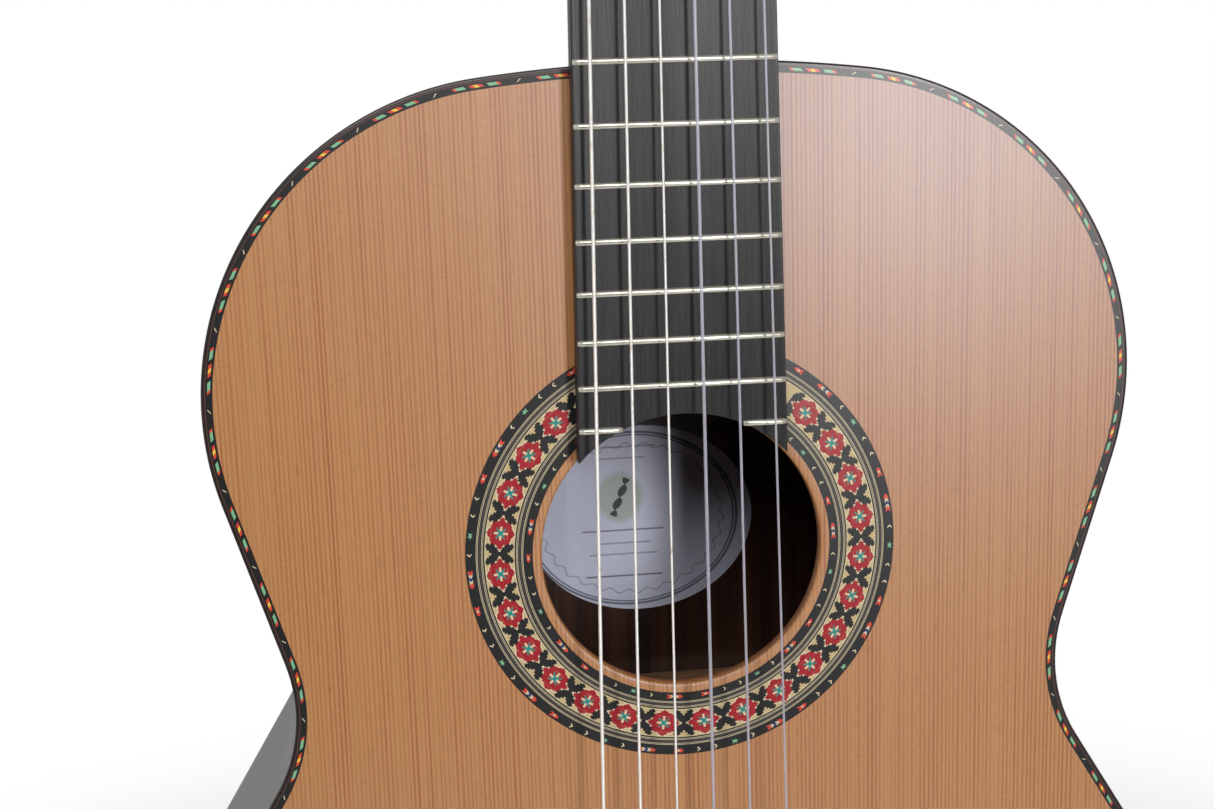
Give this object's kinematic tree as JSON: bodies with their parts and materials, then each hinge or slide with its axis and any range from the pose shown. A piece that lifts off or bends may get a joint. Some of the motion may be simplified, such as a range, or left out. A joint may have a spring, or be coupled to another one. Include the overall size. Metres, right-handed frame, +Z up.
{
  "type": "classical guitar",
  "caption": "Full-size nylon-string classical guitar with slotted head, geared tuners, fan-braced cedar top, inlaid rosette and tie bridge.",
  "frame": {"origin": "middle of the nut's lower edge, on the plane where the fretboard is glued to the neck and soundboard; the neck there hangs in a wall hanger's yoke", "axes": "+X to the treble side (the player's right as seen from the front), +Y to the back of the guitar, +Z up the neck to the head"},
  "size_m": [0.368, 0.117, 1.0022],
  "materials": {
    "cedar_top": "gloss lacquer over straight red-brown grain",
    "spruce_braces": "bare, pale",
    "rosette_mosaic": "gloss lacquer, dyed wood flowers on a cream ground",
    "rosette_borders": "gloss lacquer, black bands with small dyed marks",
    "binding_rosewood": "gloss lacquer",
    "purfling_mosaic": "gloss lacquer, dark lines and small dyed blocks",
    "rosewood_body": "gloss lacquer, dark brown with darker streaks",
    "label_paper": "matte printed paper",
    "cedar_neck": "satin lacquer, straight brown grain",
    "rosewood_bridge": "satin, dark brown",
    "ebony": "oiled, nearly black with fine pores",
    "nickel_silver": "polished",
    "bone": "polished, off-white",
    "brass_plate": "polished, slightly aged",
    "screw_steel": "polished",
    "nylon_string": "clear, smooth",
    "roller_plastic": "polished, off-white",
    "steel_worm": "turned",
    "pearl_button": "pearly, off-white",
    "wound_string": "silver-plated fine winding"
  },
  "bodies": {
    "root": {"soundboard": "cedar_top", "soundhole_patch": "spruce_braces", "rosette_mosaic": "rosette_mosaic", "rosette_borders": "rosette_borders", "top_binding": "binding_rosewood", "back_binding": "binding_rosewood", "top_purfling": "purfling_mosaic", "side_bass": "rosewood_body", "side_treble": "rosewood_body", "end_graft": "binding_rosewood", "back_plate": "rosewood_body", "back_centre_strip": "binding_rosewood", "linings": "spruce_braces", "tail_block": "spruce_braces", "top_braces": "spruce_braces", "back_braces": "spruce_braces", "label": "label_paper", "neck": "cedar_neck", "heel_cap": "binding_rosewood", "headstock": "cedar_neck", "head_veneer": "rosewood_bridge", "fretboard": "ebony", "frets": "nickel_silver", "nut": "bone", "saddle": "bone", "bridge": "rosewood_bridge", "tie_block_inlay": "bone", "machine_plate_treble": "brass_plate", "machine_plate_bass": "brass_plate", "machine_screws": "screw_steel", "string_1": "nylon_string", "string_2": "nylon_string", "string_3": "nylon_string", "string_4": "wound_string", "string_5": "wound_string", "string_6": "wound_string"},
    "tuner_1": {"button_1": "pearl_button", "worm_1": "steel_worm"},
    "string_post_1": {"roller_1": "roller_plastic", "gear_1": "brass_plate"},
    "tuner_2": {"button_2": "pearl_button", "worm_2": "steel_worm"},
    "string_post_2": {"roller_2": "roller_plastic", "gear_2": "brass_plate"},
    "tuner_3": {"button_3": "pearl_button", "worm_3": "steel_worm"},
    "string_post_3": {"roller_3": "roller_plastic", "gear_3": "brass_plate"},
    "tuner_4": {"button_4": "pearl_button", "worm_4": "steel_worm"},
    "string_post_4": {"roller_4": "roller_plastic", "gear_4": "brass_plate"},
    "tuner_5": {"button_5": "pearl_button", "worm_5": "steel_worm"},
    "string_post_5": {"roller_5": "roller_plastic", "gear_5": "brass_plate"},
    "tuner_6": {"button_6": "pearl_button", "worm_6": "steel_worm"},
    "string_post_6": {"roller_6": "roller_plastic", "gear_6": "brass_plate"}
  },
  "joints": [
    {"name": "tuner_1_turn", "type": "hinge", "parent": "root", "child": "tuner_1", "pos_m": [0.0415, 0.023, 0.05412], "axis": [0, 0.9659, -0.2588], "continuous": true},
    {"name": "string_post_1_turn", "type": "hinge", "parent": "root", "child": "string_post_1", "pos_m": [0, 0.02522, 0.06243], "axis": [1, 0, 0], "continuous": true},
    {"name": "tuner_2_turn", "type": "hinge", "parent": "root", "child": "tuner_2", "pos_m": [0.0415, 0.03206, 0.08793], "axis": [0, 0.9659, -0.2588], "continuous": true},
    {"name": "string_post_2_turn", "type": "hinge", "parent": "root", "child": "string_post_2", "pos_m": [0, 0.03428, 0.09624], "axis": [1, 0, 0], "continuous": true},
    {"name": "tuner_3_turn", "type": "hinge", "parent": "root", "child": "tuner_3", "pos_m": [0.0415, 0.04111, 0.12174], "axis": [0, 0.9659, -0.2588], "continuous": true},
    {"name": "string_post_3_turn", "type": "hinge", "parent": "root", "child": "string_post_3", "pos_m": [0, 0.04334, 0.13004], "axis": [1, 0, 0], "continuous": true},
    {"name": "tuner_4_turn", "type": "hinge", "parent": "root", "child": "tuner_4", "pos_m": [-0.0415, 0.04111, 0.12174], "axis": [0, 0.9659, -0.2588], "continuous": true},
    {"name": "string_post_4_turn", "type": "hinge", "parent": "root", "child": "string_post_4", "pos_m": [0, 0.04334, 0.13004], "axis": [1, 0, 0], "continuous": true},
    {"name": "tuner_5_turn", "type": "hinge", "parent": "root", "child": "tuner_5", "pos_m": [-0.0415, 0.03206, 0.08793], "axis": [0, 0.9659, -0.2588], "continuous": true},
    {"name": "string_post_5_turn", "type": "hinge", "parent": "root", "child": "string_post_5", "pos_m": [0, 0.03428, 0.09624], "axis": [1, 0, 0], "continuous": true},
    {"name": "tuner_6_turn", "type": "hinge", "parent": "root", "child": "tuner_6", "pos_m": [-0.0415, 0.023, 0.05412], "axis": [0, 0.9659, -0.2588], "continuous": true},
    {"name": "string_post_6_turn", "type": "hinge", "parent": "root", "child": "string_post_6", "pos_m": [0, 0.02522, 0.06243], "axis": [1, 0, 0], "continuous": true}
  ],
  "couplings": [
    {"joint": "string_post_1_turn", "follows": "tuner_1_turn", "ratio": -0.071429},
    {"joint": "string_post_2_turn", "follows": "tuner_2_turn", "ratio": -0.071429},
    {"joint": "string_post_3_turn", "follows": "tuner_3_turn", "ratio": -0.071429},
    {"joint": "string_post_4_turn", "follows": "tuner_4_turn", "ratio": -0.071429},
    {"joint": "string_post_5_turn", "follows": "tuner_5_turn", "ratio": -0.071429},
    {"joint": "string_post_6_turn", "follows": "tuner_6_turn", "ratio": -0.071429}
  ]
}
